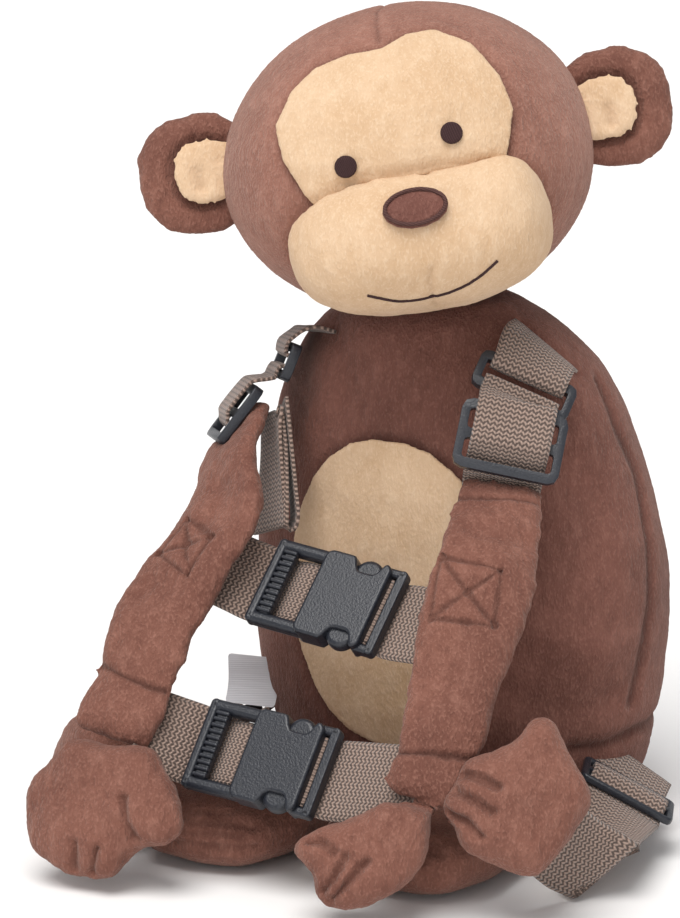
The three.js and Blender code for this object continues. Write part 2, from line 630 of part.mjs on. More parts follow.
forms.belt_clip = clipForm(buckles.belt);
forms.belt_socket = socketForm(buckles.belt);

// Straps between the arms: each runs from a sleeve to its half of the buckle
const half = BUCKLE_LENGTH / 2;
const turned = (frame) => {
  const x = frame.across.clone().normalize();
  const z = frame.out.clone().addScaledVector(x, -frame.out.dot(x)).normalize();
  return z.cross(x);
};
const crossStrap = (frame, side, end, endAcross) => {
  const up = turned(frame);
  const slotLeft = -half + BAR + 1;
  const under = -0.3 * BUCKLE_THICK - GAP - WEB_THICK / 2 - 0.2;
  const below = -LOOP_THICK / 2 - GAP - WEB_THICK / 2 - 0.1;
  const step = (x, z, wide) => ({ at: spot(frame, x, 0, z), across: up, wide });
  const near = side < 0
    ? [step(slotLeft + 0.62 * CLIP_SLOT, 0.4, 0.88), step(slotLeft + 0.48 * CLIP_SLOT, -1.6, 0.88),
      step(slotLeft + 0.1, under, 0.9), step(-half - 1, under, 1)]
    : [step(half - BAR - 1.3, 0.6, 0.88), step(half - BAR - 1.4, -1.6, 0.88),
      step(half - BAR - 0.2, below, 0.9), step(half + 1.5, below, 1)];
  const middle = near[3].at.clone().lerp(end, 0.5);
  const points = near
    .concat([{ at: middle, across: up.clone().lerp(endAcross, 0.5) }, { at: end, across: endAcross }]);
  return webbing(side < 0 ? points : points.slice().reverse(), 3);
};
// columns: where the strap ends in its sleeve, x, y, z in hundredths of the body's height
const STRAP_ENDS = {
  chest: { left: [-23.2, -49.6, 52.8], right: [28.5, -50.2, 47.4], across: vec(-0.1, 0.68, 0.73) },
  belt: { left: [-27, -71.2, 27.6], right: [27.5, -67, 23.4], across: vec(-0.05, 0.6, 0.8) },
};
['chest', 'belt'].forEach((level) => ['left', 'right'].forEach((hand) => {
  const ends = STRAP_ENDS[level];
  const end = vec(...ends[hand].map(share));
  forms[`${level}_webbing_${hand}`] = crossStrap(buckles[level], hand === 'left' ? -1 : 1, end, ends.across);
}));

// Rear belt: from each foot back along the floor, folded over and up to a slider at the body's side
const REAR_ROWS = [
  [46.9, -52.5, 13.4, 0.43, 0.45, 0.78],
  [48.9, -48.4, 9.4, 0.55, 0.5, 0.67],
  [51.7, -44.9, 6.7, 0.71, 0.53, 0.44],
  [52.9, -43.1, 5.5, 0.73, 0.53, 0.41],
  [52.5, -42.3, 5.2, 0.73, 0.53, 0.41],
  [51.3, -42.4, 5.9, 0.73, 0.53, 0.41],
  [49.7, -39.2, 7.5, 0.77, 0.53, 0.34],
  [47.3, -30, 8.8, 0.84, 0.5, 0],
];
const rearFrame = (side) => ({
  at: vec(side * share(44.2), share(-17), share(11.6)),
  across: vec(side * 0.8, 0.35, -0.46),
  out: vec(side * 0.5, 0.2, 0.85),
});
// columns: along the slider from its middle bar, outward
const THREAD_ROWS = [
  [-9.5, -2.4], [-6.6, -2.3], [-4.2, 0], [-1.9, 2.2], [0, 2.5], [1.9, 2.2], [4.2, 0], [6.6, -2.3],
  [9.5, -2.4],
];
const rearBelt = (side) => {
  const frame = rearFrame(side);
  const start = REAR_ROWS.map(([x, y, z, ax, ay, az]) => ({
    at: vec(side * share(x), share(y), share(z)),
    across: vec(side * ax, ay, az),
  }));
  const thread = THREAD_ROWS
    .map(([along, out]) => ({ at: spot(frame, 0, along * side, out), across: frame.across }));
  const end = { at: vec(side * share(39.4), share(-3), share(12.4)), across: vec(side * 0.78, 0.3, -0.55) };
  return webbing(start.concat(thread, [end]), 1);
};
const rearSlider = (side) => (grow) => {
  const half = WEB_WIDTH / 2 + 0.8 - grow;
  const slot = REAR_SLOT / 2 - grow;
  const middle = (REAR_SLOT + BAR) / 2;
  const hole = (k) => box([-half, k * middle - slot, -BAR], [half, k * middle + slot, BAR]);
  const outline = rounded(REAR_SLIDER_WIDTH + 2 * grow, REAR_SLIDER_LENGTH + 2 * grow, 2);
  const plate = prism(outline, -REAR_SLIDER_THICK / 2 - grow, REAR_SLIDER_THICK / 2 + grow);
  return inFrame(rearFrame(side), plate.subtract(hole(1)).subtract(hole(-1)));
};
forms.rear_webbing_right = rearBelt(1);
forms.rear_webbing_left = rearBelt(-1);
forms.rear_slider_right = rearSlider(1);
forms.rear_slider_left = rearSlider(-1);

// Folded spare webbing that hangs from the left shoulder in a long loop
const BUNDLE_ROWS = [
  [-22.6, -27.4, 79.0],
  [-20.5, -29.6, 72.6],
  [-18.1, -31.9, 63.9],
  [-16.9, -33.2, 59.4],
  [-17.2, -33.8, 57.6],
  [-17.9, -34.4, 57.2],
  [-18.7, -34.5, 58.7],
  [-20.4, -32.8, 65.7],
  [-22.5, -30.3, 74.4],
  [-23.3, -28.5, 76.6],
  [-23.9, -28.6, 77.3],
  [-24.2, -29, 76.4],
  [-22.6, -31.2, 70.4],
  [-20.8, -34.7, 62.2],
  [-20, -36.9, 57],
];
forms.spare_webbing = webbing(BUNDLE_ROWS.map(([x, y, z]) => ({
  at: vec(share(x), share(y), share(z)),
  across: SIDEWAYS,
  wide: 0.6,
})), 2);

// Care label: a blank white tape sewn in the left side of the body
forms.side_label = (grow) => {
  const plate = prism(rounded(LABEL_WIDTH + 2 * grow, LABEL_WIDTH + 2 * grow, 1), -0.4 - grow, 0.4 + grow);
  const at = vec(-0.42 * BODY_WIDTH, -0.32 * BODY_DEPTH, 0.215 * BODY_HEIGHT);
  return place(plate, at, vec(0.87, 0.45, -0.1), vec(0.45, -0.85, 0.25));
};

// Which pieces each piece is cut clear of, and the look of each
const PIECES = [
  ['body', 'plush', ['head', 'muzzle', 'shoulder_webbing_left', 'shoulder_webbing_right', 'ring_left',
    'ring_right', 'rear_webbing_left', 'rear_webbing_right', 'side_label']],
  ['zip_tape', 'plastic', []],
  ['zip_pull', 'plastic', ['zip_tape']],
  ['belly_patch', 'cream', []],
  ['head', 'plush', []],
  ['face_patch', 'cream', ['muzzle']],
  ['muzzle', 'cream', ['head']],
  ['eye_left', 'thread', []],
  ['eye_right', 'thread', []],
  ['nose', 'thread', []],
  ['ear_left', 'plush', ['head', 'ear_lining_left']],
  ['ear_right', 'plush', ['head', 'ear_lining_right']],
  ['ear_lining_left', 'cream', ['head']],
  ['ear_lining_right', 'cream', ['head']],
  ['leg_left', 'plush', ['body_whole', 'hand_left', 'foot_left']],
  ['leg_right', 'plush', ['body_whole', 'hand_right', 'foot_right', 'leg_left']],
  ['arm_left', 'plush', ['spare_webbing', 'slider_webbing_left', 'chest_webbing_left', 'cuff_left',
    'slider_left']],
  ['arm_right', 'plush', ['slider_webbing_right', 'chest_webbing_right', 'cuff_right', 'foot_right']],
  ['cuff_left', 'plush', ['belt_webbing_left']],
  ['cuff_right', 'plush', ['belt_webbing_right']],
  ['hand_left', 'plush', ['cuff_left', 'belt_webbing_left']],
  ['hand_right', 'plush', ['cuff_right', 'belt_webbing_right']],
  ['foot_left', 'plush', ['rear_webbing_left', 'cuff_left', 'hand_left']],
  ['foot_right', 'plush', ['rear_webbing_right', 'cuff_right', 'hand_right']],
  ['shoulder_webbing_left', 'webbing', []],
  ['shoulder_webbing_right', 'webbing', []],
  ['ring_left', 'plastic', ['shoulder_webbing_left']],
  ['ring_right', 'plastic', []],
  ['slider_webbing_left', 'webbing', []],
  ['slider_webbing_right', 'webbing', []],
  ['slider_left', 'plastic', []],
  ['slider_right', 'plastic', []],
  ['spare_webbing', 'webbing', ['slider_webbing_left', 'slider_left']],
  ['chest_webbing_left', 'webbing', []],
  ['chest_clip', 'plastic', []],
  ['chest_socket', 'plastic', []],
  ['chest_webbing_right', 'webbing', []],
  ['belt_webbing_left', 'webbing', []],
  ['belt_clip', 'plastic', []],
  ['belt_socket', 'plastic', []],
  ['belt_webbing_right', 'webbing', []],
  ['rear_webbing_left', 'webbing', []],
  ['rear_webbing_right', 'webbing', []],
  ['rear_slider_left', 'plastic', []],
  ['rear_slider_right', 'plastic', []],
  ['side_label', 'label', []],
];

const floor = box([-1000, -1000, -200], [1000, 1000, 0]);
const group = new THREE.Group();
group.name = 'toddler_harness_backpack';
PIECES.forEach(([name, look, clearOf]) => {
  const form = clearOf
    .reduce((left, other) => left.subtract(forms[other](GAP)), forms[name](0))
    .subtract(floor);
  const { vertProperties, triVerts } = form.getMesh();
  const geometry = new THREE.BufferGeometry();
  geometry.setAttribute('position', new THREE.BufferAttribute(Float32Array.from(vertProperties), 3));
  geometry.setIndex(new THREE.BufferAttribute(Uint32Array.from(triVerts), 1));
  geometry.computeVertexNormals();
  const mesh = new THREE.Mesh(geometry, new THREE.MeshStandardMaterial(LOOKS[look]));
  mesh.name = name;
  group.add(mesh);
});

export default group;
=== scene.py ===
import math
import bmesh
import bpy
import numpy as np
from mathutils import Matrix, Vector, bvhtree, noise


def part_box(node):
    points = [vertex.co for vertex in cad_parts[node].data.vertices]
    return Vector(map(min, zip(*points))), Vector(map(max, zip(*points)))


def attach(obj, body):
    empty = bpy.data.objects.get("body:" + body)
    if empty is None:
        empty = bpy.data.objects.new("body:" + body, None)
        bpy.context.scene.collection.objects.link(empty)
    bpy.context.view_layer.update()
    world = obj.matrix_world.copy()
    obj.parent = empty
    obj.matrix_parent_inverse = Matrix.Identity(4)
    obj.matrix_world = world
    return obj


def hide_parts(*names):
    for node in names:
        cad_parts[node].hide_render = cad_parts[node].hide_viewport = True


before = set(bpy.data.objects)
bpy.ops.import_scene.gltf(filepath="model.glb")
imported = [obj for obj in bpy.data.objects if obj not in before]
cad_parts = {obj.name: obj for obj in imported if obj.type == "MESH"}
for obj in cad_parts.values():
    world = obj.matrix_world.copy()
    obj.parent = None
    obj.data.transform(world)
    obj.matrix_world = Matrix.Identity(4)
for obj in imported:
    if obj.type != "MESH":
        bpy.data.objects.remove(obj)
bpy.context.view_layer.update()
MM = 0.001

# Studio
# A pale table under soft daylight from above and in front, seen a little from above and from the
# right, where the photograph was taken. Left and right are the viewer's throughout.
aim = Vector((-44.9, 1.6, 103.2)) * MM
camera = bpy.data.objects.new("camera", bpy.data.cameras.new("camera"))
camera.location = Vector((588.4, -1095.4, 395.6)) * MM
camera.rotation_euler = (aim - camera.location).to_track_quat("-Z", "Y").to_euler()
camera.data.lens = 159.3
bpy.context.scene.collection.objects.link(camera)
bpy.context.scene.camera = camera
bpy.context.scene.view_settings.view_transform = "Standard"

air = bpy.data.worlds.new("air")
air.use_nodes = True
air.node_tree.nodes["Background"].inputs["Color"].default_value = (0.97, 0.98, 1.0, 1)
air.node_tree.nodes["Background"].inputs["Strength"].default_value = 0.45
bpy.context.scene.world = air

for name, towards, strength, softness, tint in (
    ("daylight", (0.04, -0.40, 0.91), 2.75, 40, (1.0, 0.98, 0.96)),
    ("window", (0.34, -0.90, 0.25), 0.8, 60, (1.0, 0.98, 0.97)),
):
    light = bpy.data.lights.new(name, "SUN")
    light.energy, light.angle, light.color = strength, math.radians(softness), tint
    lamp = bpy.data.objects.new(name, light)
    lamp.rotation_euler = Vector(towards).to_track_quat("Z", "Y").to_euler()
    bpy.context.scene.collection.objects.link(lamp)

table_top = bmesh.new()
bmesh.ops.create_grid(table_top, x_segments=1, y_segments=1, size=12)
bmesh.ops.translate(table_top, verts=table_top.verts, vec=(0, 0, -0.3 * MM))
table_mesh = bpy.data.meshes.new("table")
table_top.to_mesh(table_mesh)
table_top.free()
table = bpy.data.objects.new("table", table_mesh)
bpy.context.scene.collection.objects.link(table)
table_paint = bpy.data.materials.new("pale table")
table_paint.use_nodes = True
table_paint.node_tree.nodes["Principled BSDF"].inputs["Base Color"].default_value = (0.9, 0.895, 0.89, 1)
table_paint.node_tree.nodes["Principled BSDF"].inputs["Roughness"].default_value = 0.9
table_mesh.materials.append(table_paint)


# Body
# The bag itself: a pear of short brown plush with a flat base, padded all round and closed at the
# back, sewn from a front and two side panels whose seams show on its right side.
class Tone:
    """A value in a material, so that shades are worked out as plain sums."""

    def __init__(self, tree, socket):
        self.tree, self.socket = tree, socket

    def node(self, kind, settings, values, out=0):
        node = self.tree.nodes.new(kind)
        for key, value in settings.items():
            setattr(node, key, value)
        for key, value in values.items():
            if isinstance(value, Tone):
                self.tree.links.new(value.socket, node.inputs[key])
            elif isinstance(value, tuple) and len(value) == 3 and node.inputs[key].type == "RGBA":
                node.inputs[key].default_value = (*value, 1)
            else:
                node.inputs[key].default_value = value
        return Tone(self.tree, node.outputs[out])

    def maths(self, operation, first, second=0.0):
        return self.node("ShaderNodeMath", {"operation": operation}, {0: first, 1: second})

    def __add__(self, other):
        return self.maths("ADD", self, other)

    def __sub__(self, other):
        return self.maths("SUBTRACT", self, other)

    def __rsub__(self, other):
        return self.maths("SUBTRACT", other, self)

    def __mul__(self, other):
        return self.maths("MULTIPLY", self, other)

    __radd__, __rmul__ = __add__, __mul__

    def wave(self):
        return self.maths("SINE", self) * 0.5 + 0.5

    def apart(self, axis):
        return self.node("ShaderNodeSeparateXYZ", {}, {0: self}, axis)

    def stretched(self, x, y, z):
        return self.node("ShaderNodeMapping", {}, {"Vector": self, "Scale": (x, y, z)})

    def grain(self, scale, detail=3.0):
        return self.node("ShaderNodeTexNoise", {}, {"Vector": self, "Scale": scale, "Detail": detail})

    def mixed(self, share, first, second):
        return self.node("ShaderNodeMix", {"data_type": "RGBA"}, {0: share, 6: first, 7: second}, 2)

    def between(self, low, high):
        return self.node("ShaderNodeMapRange", {"interpolation_type": "SMOOTHSTEP"},
                         {"Value": self, "From Min": low, "From Max": high})


def finish_start(name, roughness, **constants):
    """A material with its own constants, and its place on the piece to work shades out from."""
    material = bpy.data.materials.new(name)
    material.use_nodes = True
    shader = material.node_tree.nodes["Principled BSDF"]
    shader.inputs["Roughness"].default_value = roughness
    for key, value in constants.items():
        shader.inputs[key.replace("_", " ")].default_value = value
    start = Tone(material.node_tree, None)
    return material, shader, start.node("ShaderNodeTexCoord", {}, {}, "Object")


def finish_end(shader, shade, colour, height, depth):
    """Joins a colour and a relief of the given depth in metres to the shader."""
    shade.tree.links.new(colour.socket, shader.inputs["Base Color"])
    bump = shade.node("ShaderNodeBump", {}, {"Strength": 1.0, "Distance": depth, "Height": height})
    shade.tree.links.new(bump.socket, shader.inputs["Normal"])


def plush_finish(name, main, deep, light, seam, sheen, relief=0.0016):
    """Short cut pile that lies in patches, lighter where its tips catch the light, with painted shade in its
    seams and creases.
    """
    material, shader, place = finish_start(name, 0.92, Sheen_Weight=sheen, Sheen_Roughness=0.4,
                                           Sheen_Tint=(1.0, 0.86, 0.78, 1), Specular_IOR_Level=0.15)
    lay = place.grain(34.0, 4.0).between(0.36, 0.64)
    clump = place.stretched(1, 1, 0.45).grain(360.0, 5.0)
    pile = place.stretched(1, 1, 0.5).grain(1500.0, 3.0)
    colour = place.mixed(lay * 0.5, main, deep)
    colour = place.mixed(clump.between(0.48, 0.78) * 0.32, colour, light)
    colour = place.mixed((1 - clump).between(0.52, 0.78) * 0.45, colour, deep)
    colour = place.mixed(pile.between(0.48, 0.7) * 0.36, colour, light)
    # Painted shade: the pile turns towards the last colour given where the skin is drawn into a seam or
    # crease.
    shade_mark = place.node("ShaderNodeAttribute", {"attribute_name": "seam"}, {}, "Fac")
    colour = place.mixed(shade_mark * 0.75, colour, seam)
    finish_end(shader, place, colour, pile * 0.5 + clump * 0.5, relief)
    return material


# The last colour of each plush is the painted shade in its seams and creases.
brown_plush = plush_finish("brown plush", (0.32, 0.15, 0.11), (0.19, 0.084, 0.062), (0.5, 0.272, 0.21),
                           (0.07, 0.03, 0.024), 0.25)
# The body plush and limb plush are the head's brown plush painted darker: painted shade for the body under
# the head, and for the limbs and ears.
shaded_body_plush = plush_finish("shaded body plush", (0.195, 0.084, 0.064), (0.11, 0.046, 0.035), (0.33, 0.16, 0.123),
                          (0.05, 0.021, 0.017), 0.15)
shaded_limb_plush = plush_finish("shaded limb plush", (0.21, 0.09, 0.065), (0.11, 0.044, 0.033), (0.38, 0.19, 0.143),
                          (0.045, 0.019, 0.015), 0.18)


def merged(*nodes):
    """Copies CAD solids into one mesh and joins their loose triangles."""
    shape = bmesh.new()
    for node in nodes:
        shape.from_mesh(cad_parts[node].data)
    bmesh.ops.remove_doubles(shape, verts=shape.verts, dist=0.01 * MM)
    return shape


def made(name, shape, material, slot, *nodes):
    """Turns a mesh into a piece of the toy that stands for its CAD nodes."""
    mesh = bpy.data.meshes.new(name)
    shape.to_mesh(mesh)
    shape.free()
    mesh.materials.append(material)
    piece = bpy.data.objects.new(name, mesh)
    bpy.context.scene.collection.objects.link(piece)
    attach(piece, "root")
    if nodes:
        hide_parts(*nodes)
    return piece


def settle(piece):
    """Applies what is on a piece to its mesh."""
    bpy.context.view_layer.update()
    whole = bpy.data.meshes.new_from_object(piece.evaluated_get(bpy.context.evaluated_depsgraph_get()))
    piece.modifiers.clear()
    piece.data = whole
    whole.polygons.foreach_set("use_smooth", [True] * len(whole.polygons))


def points(piece):
    places = np.zeros(len(piece.data.vertices) * 3)
    piece.data.vertices.foreach_get("co", places)
    return places.reshape(-1, 3)


def outward(piece):
    ways = np.zeros(len(piece.data.vertices) * 3)
    piece.data.vertex_normals.foreach_get("vector", ways)
    return ways.reshape(-1, 3)


def shift(piece, places):
    piece.data.vertices.foreach_set("co", places.ravel())
    piece.data.update()


def stuffed(piece, cell, pressure, reach, rounds):
    """Fills a cloth skin: it is cut into even cells, blown out for a moment and sewn smooth again."""
    cells = piece.modifiers.new("cells", "REMESH")
    cells.mode, cells.voxel_size = "VOXEL", cell
    even = piece.modifiers.new("even", "SMOOTH")
    even.factor, even.iterations = 0.5, 6
    settle(piece)
    rest = points(piece)
    cloth = piece.modifiers.new("fill", "CLOTH")
    cloth.settings.use_pressure = True
    cloth.settings.uniform_pressure_force = pressure
    cloth.settings.effector_weights.gravity = 0
    cloth.settings.quality = 4
    cloth.point_cache.frame_start, cloth.point_cache.frame_end = 1, 20
    for step in range(1, 21):
        bpy.context.scene.frame_set(step)
    blown = piece.evaluated_get(bpy.context.evaluated_depsgraph_get()).to_mesh()
    places = np.zeros(rest.size)
    blown.vertices.foreach_get("co", places)
    piece.modifiers.clear()
    bpy.context.scene.frame_set(1)
    move = places.reshape(-1, 3) - rest
    length = np.linalg.norm(move, axis=1, keepdims=True)
    shift(piece, rest + move * np.minimum(1, reach / np.maximum(length, 1e-9)))
    finer = piece.modifiers.new("finer", "SUBSURF")
    finer.levels = finer.render_levels = rounds
    settle(piece)
    floored(piece)


def floored(piece):
    """Keeps a soft piece on the table."""
    places = points(piece)
    places[:, 2] = np.maximum(places[:, 2], 0.0)
    shift(piece, places)


def mark_seam(piece, shares):
    """Paints shade on the pile where the skin is drawn into a seam or crease."""
    shade_mark = piece.data.attributes.get("seam") or piece.data.attributes.new("seam", "FLOAT", "POINT")
    before = np.zeros(len(piece.data.vertices))
    shade_mark.data.foreach_get("value", before)
    shade_mark.data.foreach_set("value", np.maximum(before, shares))


def crease(piece, line, width, depth, dark=0.0):
    """Draws a skin in along a line of points in millimetres; a negative depth raises a fold, and dark paints
    shade along the line.
    """
    graph = bpy.context.evaluated_depsgraph_get()
    skin = bvhtree.BVHTree.FromObject(piece, graph)
    ends = [Vector(spot) * MM for spot in line]
    dense = [a.lerp(b, step / 6) for a, b in zip(ends, ends[1:]) for step in range(6)] + [ends[-1]]
    dense = np.array([skin.find_nearest(spot)[0] for spot in dense])
    places = points(piece)
    near = np.full(len(places), 1.0)
    for a, b in zip(dense, dense[1:]):
        along = b - a
        share = np.clip(((places - a) @ along) / max(along @ along, 1e-12), 0, 1)
        near = np.minimum(near, np.linalg.norm(places - a - share[:, None] * along, axis=1))
    pull = np.exp(-(near / (width * MM)) ** 2)
    shift(piece, places - outward(piece) * (pull * depth * MM)[:, None])
    if dark:
        mark_seam(piece, pull ** 2 * dark)


def tuck(piece, node, width, depth, dark=0.0):
    """Draws a skin in round the edge of a piece that is sewn on it, and dark paints shade in that groove."""
    sewn = bvhtree.BVHTree.FromBMesh(merged(node))
    places = points(piece)
    near = np.full(len(places), 1.0)
    for k, spot in enumerate(places):
        found = sewn.find_nearest(spot, width * MM * 2.5)
        if found[0] is not None:
            near[k] = found[3]
    pull = np.exp(-(near / (width * MM)) ** 2)
    shift(piece, places - outward(piece) * (pull * depth * MM)[:, None])
    if dark:
        mark_seam(piece, pull ** 2 * dark)


def sewn_to(piece, node, reach, lap):
    """Draws the edge of a skin on to what it is sewn to, and lap millimetres under it."""
    other = bvhtree.BVHTree.FromBMesh(merged(node))
    places = points(piece)
    for k, spot in enumerate(places):
        on, _, _, far = other.find_nearest(spot, reach * MM)
        if on is not None and far > 1e-7:
            way = on - Vector(spot)
            places[k] += np.array(way * (1 + lap * MM / far)) * (1 - (far / (reach * MM)) ** 2)
    shift(piece, places)


def pull(piece, spot, way, width):
    """Draws a skin out softly round one spot, all in millimetres."""
    places = points(piece)
    far = np.linalg.norm(places - np.array(spot) * MM, axis=1)
    shift(piece, places + np.array(way) * MM * np.exp(-(far / (width * MM)) ** 2)[:, None])


def rumple(piece, size, depth, seed):
    """Gives a skin the soft unevenness of its filling."""
    places = points(piece)
    start = Vector((seed, 0, 0))
    heights = np.array([noise.noise(Vector(spot) / (size * MM) + start) for spot in places])
    shift(piece, places + outward(piece) * (heights * depth * MM)[:, None])


def fuzzy(piece, depth):
    """Roughens the outline as short pile does."""
    tuft, fibre = 900, 2100
    places = points(piece)
    heights = np.array([noise.noise(Vector(spot) * tuft) + 0.6 * noise.noise(Vector(spot) * fibre)
                        for spot in places])
    shift(piece, places + outward(piece) * (heights * depth * MM)[:, None])


pear = merged("body")
hull = bmesh.ops.convex_hull(pear, input=pear.verts)
inner = [part for part in hull["geom_interior"] if isinstance(part, bmesh.types.BMVert)]
bmesh.ops.delete(pear, geom=inner, context="VERTS")
bmesh.ops.recalc_face_normals(pear, faces=pear.faces)
body = made("body_skin", pear, shaded_body_plush, "plush", "body")
stuffed(body, 5 * MM, 1.0, 2.0 * MM, 2)
side_seam = [(51, -7, 141), (59, -6, 126), (62, 0, 112), (66, -2, 98),
             (69, -5, 73), (68, -7, 55), (66, -10, 41)]
# The side seams and the creases below are drawn in; the last number of each is the shade painted into it.
crease(body, side_seam, 2.2, 1.6, 0.9)
crease(body, [(-x, y, z) for x, y, z in side_seam], 2.2, 1.6, 0.9)
for line, width, depth, dark in (
    ([(53, -27, 29), (60, -17, 29), (65, -4, 31), (60, 22, 32)], 2.5, 2.0, 0.8),
    ([(-53, -27, 29), (-60, -17, 29), (-65, -4, 31), (-60, 22, 32)], 2.5, 2.0, 0.8),
    ([(32, -24, 160), (40, -22, 153), (48, -16, 145)], 2.0, 1.2, 0.8),
    ([(28, -28, 161), (23, -37, 154), (14, -40, 152)], 5.0, 1.2, 0.0),
    ([(-27, -35, 153), (-18, -42, 143), (-14, -44, 131)], 6.0, 1.0, 0.0),
    ([(53, -30, 120), (58, -24, 104), (58, -26, 88)], 7.0, 1.6, 0.0),
    ([(44, -38, 70), (52, -32, 62), (62, -22, 60)], 6.0, -1.4, 0.0),
    ([(38, -36, 46), (50, -30, 42), (62, -18, 44)], 5.0, 1.4, 0.0),
    ([(-40, -38, 100), (-48, -34, 84), (-50, -30, 66)], 7.0, 1.2, 0.0),
    ([(-36, -40, 120), (-30, -44, 134), (-30, -40, 146)], 7.0, -1.2, 0.0),
    ([(20, 44, 100), (40, 36, 92), (56, 24, 96)], 7.0, 1.4, 0.0),
    ([(-20, 45, 70), (-42, 36, 62), (-58, 22, 68)], 7.0, 1.4, 0.0),
):
    crease(body, line, width, depth, dark)
rumple(body, 34, 1.6, 3)
rumple(body, 9, 0.35, 5)

# Belly patch
# An oval of cream plush laid on the front of the body and sewn down along its edge, so that the
# edge stands a little proud of the brown pile.
cream_plush = plush_finish("cream plush", (0.67, 0.475, 0.31), (0.54, 0.345, 0.195), (0.8, 0.62, 0.44),
                           (0.34, 0.2, 0.115), 0.12, relief=0.0007)


def patch(name, node):
    """A cloth patch in its CAD solid's place, with a soft edge."""
    piece = made(name, merged(node), cream_plush, "cream", node)
    cells = piece.modifiers.new("cells", "REMESH")
    cells.mode, cells.voxel_size = "VOXEL", 0.7 * MM
    soft = piece.modifiers.new("soft", "SMOOTH")
    soft.factor, soft.iterations = 0.5, 6
    settle(piece)
    return piece


belly = patch("belly_plush", "belly_patch")
# The body is drawn in round the patch, with shade painted into the groove.
tuck(body, "belly_patch", 3.0, 0.9, 0.5)
rumple(belly, 12, 0.35, 2)
fuzzy(belly, 0.12)
fuzzy(body, 0.14)
floored(body)

# Head
# A stuffed ball of brown plush, wider than high, turned and leaned to one side, with a seam over
# the crown and the ears caught in its side seams.
head = made("head_skin", merged("head"), brown_plush, "plush", "head")
stuffed(head, 3.6 * MM, 0.8, 1.5 * MM, 2)
crown_seam = [(-2, -50, 246), (-6, -44, 249), (-11, -35, 252), (-14, -25, 254), (-24, -3, 247),
              (-32, 12, 228), (-33, 19, 205), (-29, 14, 180), (-22, 2, 165)]
# Shade is painted into the crown seam here, and into the grooves round the face patch and muzzle below.
crease(head, crown_seam, 0.9, 0.7, 0.6)
rumple(head, 30, 1.0, 7)
tuck(head, "face_patch", 2.4, 1.0, 0.5)
tuck(head, "muzzle", 2.0, 0.8, 0.4)
fuzzy(head, 0.16)

# Face
# The cream patch round the eyes has two lobes at the top and is sewn flat on the head; the muzzle
# is a separate stuffed bun below it, with a short seam up its chin.
face = patch("face_plush", "face_patch")
rumple(face, 11, 0.5, 4)
sewn_to(face, "muzzle", 3.0, 2.5)
# Shade is painted into the groove along the muzzle.
tuck(face, "muzzle", 1.2, 0.4, 0.4)
fuzzy(face, 0.12)

muzzle = made("muzzle_skin", merged("muzzle"), cream_plush, "cream", "muzzle")
stuffed(muzzle, 2.6 * MM, 0.8, 1.2 * MM, 1)
sewn_to(muzzle, "head", 3.0, 1.5)
pull(muzzle, (44, -48, 206), (0.5, 0, 5.5), 12)
pull(muzzle, (-20, -68, 192), (-1.5, 0, 2.0), 10)
# The chin seam is drawn in with painted shade.
crease(muzzle, [(30, -75, 184), (29, -74, 180), (27, -69, 174), (25, -62, 169)], 0.9, 0.6, 0.4)
rumple(muzzle, 22, 1.0, 9)
rumple(muzzle, 7, 0.3, 8)
fuzzy(muzzle, 0.12)


# Eyes, nose and mouth
# Embroidered in dark brown thread: the eyes as round satin stitch, the nose as an oval of plush
# with a stitched rim, and the mouth as one thin line across the muzzle.
def thread_finish(name, colour, lit, spacing, turn):
    """Satin stitch: threads laid side by side, each a fine ridge."""
    material, shader, place = finish_start(name, 0.7, Specular_IOR_Level=0.2)
    beside = place.apart(0) * math.cos(turn) + place.apart(2) * math.sin(turn)
    ridge = (beside * (2 * math.pi / spacing)).wave()
    colour = place.mixed(ridge * 0.6 + place.grain(900.0) * 0.3, colour, lit)
    finish_end(shader, place, colour, ridge, 0.00015)
    return material


eye_thread = thread_finish("eye thread", (0.034, 0.015, 0.016), (0.065, 0.032, 0.032), 0.0005, 0.5)
rim_thread = thread_finish("rim thread", (0.06, 0.025, 0.022), (0.12, 0.058, 0.05), 0.0006, 1.2)
nose_plush = plush_finish("nose plush", (0.19, 0.08, 0.062), (0.12, 0.048, 0.038), (0.29, 0.14, 0.11),
                          (0.05, 0.02, 0.02), 0.2)


def stitched(name, node, material):
    """A raised disc of stitches with a rounded edge."""
    piece = made(name, merged(node), material, "thread", node)
    cells = piece.modifiers.new("cells", "REMESH")
    cells.mode, cells.voxel_size = "VOXEL", 0.35 * MM
    soft = piece.modifiers.new("soft", "SMOOTH")
    soft.factor, soft.iterations = 0.5, 5
    settle(piece)
    return piece


stitched("eye_left_stitches", "eye_left", eye_thread)
stitched("eye_right_stitches", "eye_right", eye_thread)
nose = stitched("nose_pad", "nose", nose_plush)


def thread_line(name, line, thick, material, skin):
    """A line of stitches laid on a skin through points in millimetres."""
    lie = bvhtree.BVHTree.FromObject(skin, bpy.context.evaluated_depsgraph_get())
    rail = bpy.data.curves.new(name, "CURVE")
    rail.dimensions, rail.bevel_depth, rail.bevel_resolution = "3D", thick / 2 * MM, 2
    rail.use_fill_caps = True
    ends = [Vector(spot) * MM for spot in line]
    dense = [a.lerp(b, step / 4) for a, b in zip(ends, ends[1:]) for step in range(4)] + [ends[-1]]
    run = rail.splines.new("POLY")
    run.points.add(len(dense) - 1)
    for knot, spot in zip(run.points, dense):
        on, way = lie.find_nearest(spot)[:2]
        knot.co = (*(on + way * thick * 0.15 * MM), 1)
    lead = bpy.data.objects.new(name, rail)
    shape = bmesh.new()
    shape.from_mesh(lead.to_mesh())
    bpy.data.objects.remove(lead)
    return made(name, shape, material, "thread")


